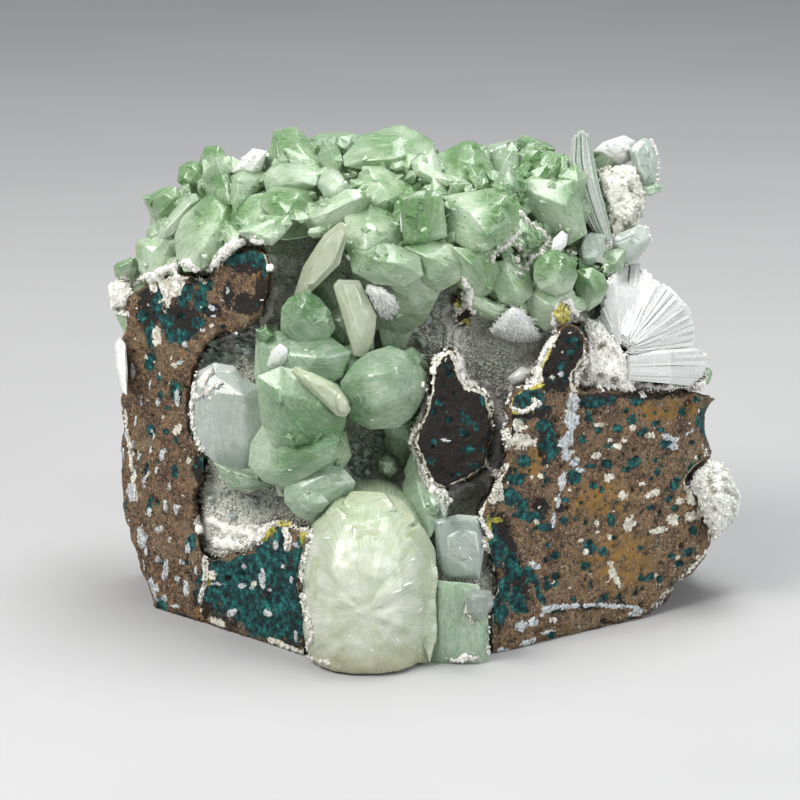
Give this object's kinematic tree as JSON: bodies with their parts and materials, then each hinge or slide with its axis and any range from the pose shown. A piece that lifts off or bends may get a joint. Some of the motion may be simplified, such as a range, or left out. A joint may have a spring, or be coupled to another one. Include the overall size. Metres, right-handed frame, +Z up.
{
  "type": "green apophyllite mineral specimen",
  "caption": "Natural mineral specimen: intergrown green apophyllite crystals and white stilbite on a druse-lined vug in vesicular basalt, standing on its flat broken underside.",
  "frame": {"origin": "middle of the footprint's bounding box on the resting face", "axes": "+Z up, +X to the right as the picture shows the specimen, -Y towards the viewer"},
  "size_m": [0.121, 0.0838, 0.0937],
  "materials": {
    "basalt": "matte",
    "druse": "satin",
    "apophyllite_green": "gloss",
    "apophyllite_deep": "gloss",
    "apophyllite_pale": "satin",
    "apophyllite_grey": "gloss",
    "stilbite_white": "satin",
    "zeolite_cream": "matte",
    "quartz_clear": "gloss"
  },
  "bodies": {
    "root": {"basalt_matrix": "basalt", "druse_lining": "druse", "apophyllite_crown": "apophyllite_green", "apophyllite_cavity_cluster": "apophyllite_deep", "bluegrey_plate_crystal": "apophyllite_grey", "pale_apophyllite_ball": "apophyllite_pale", "green_wedge_crystal": "apophyllite_green", "bluegrey_pane_crystal": "apophyllite_grey", "green_side_crystal": "apophyllite_deep", "green_tuft_crystal": "apophyllite_green", "clear_crystals_low": "quartz_clear", "clear_quartz_point": "quartz_clear", "pale_blade_upper": "apophyllite_pale", "pale_blade_lower": "apophyllite_pale", "sparkle_patch": "stilbite_white", "fibrous_patch": "stilbite_white", "pale_rod": "apophyllite_pale", "white_chip": "stilbite_white", "stilbite_fan": "stilbite_white", "stilbite_bundle": "stilbite_white", "stilbite_crust": "stilbite_white", "striated_blade": "apophyllite_grey", "zeolite_grain_mass": "zeolite_cream", "white_cap_crystal": "stilbite_white", "leaf_crystal": "apophyllite_grey", "teal_tip_crystal": "apophyllite_deep", "disc_crystal": "apophyllite_grey", "pale_fan_blades": "apophyllite_pale", "small_green_crystal": "apophyllite_green", "white_prism": "stilbite_white", "cream_quartz": "stilbite_white", "white_cap_left": "stilbite_white", "druse_tip_left": "zeolite_cream", "edge_plates_left": "stilbite_white", "druse_spur_right": "zeolite_cream"}
  },
  "joints": []
}
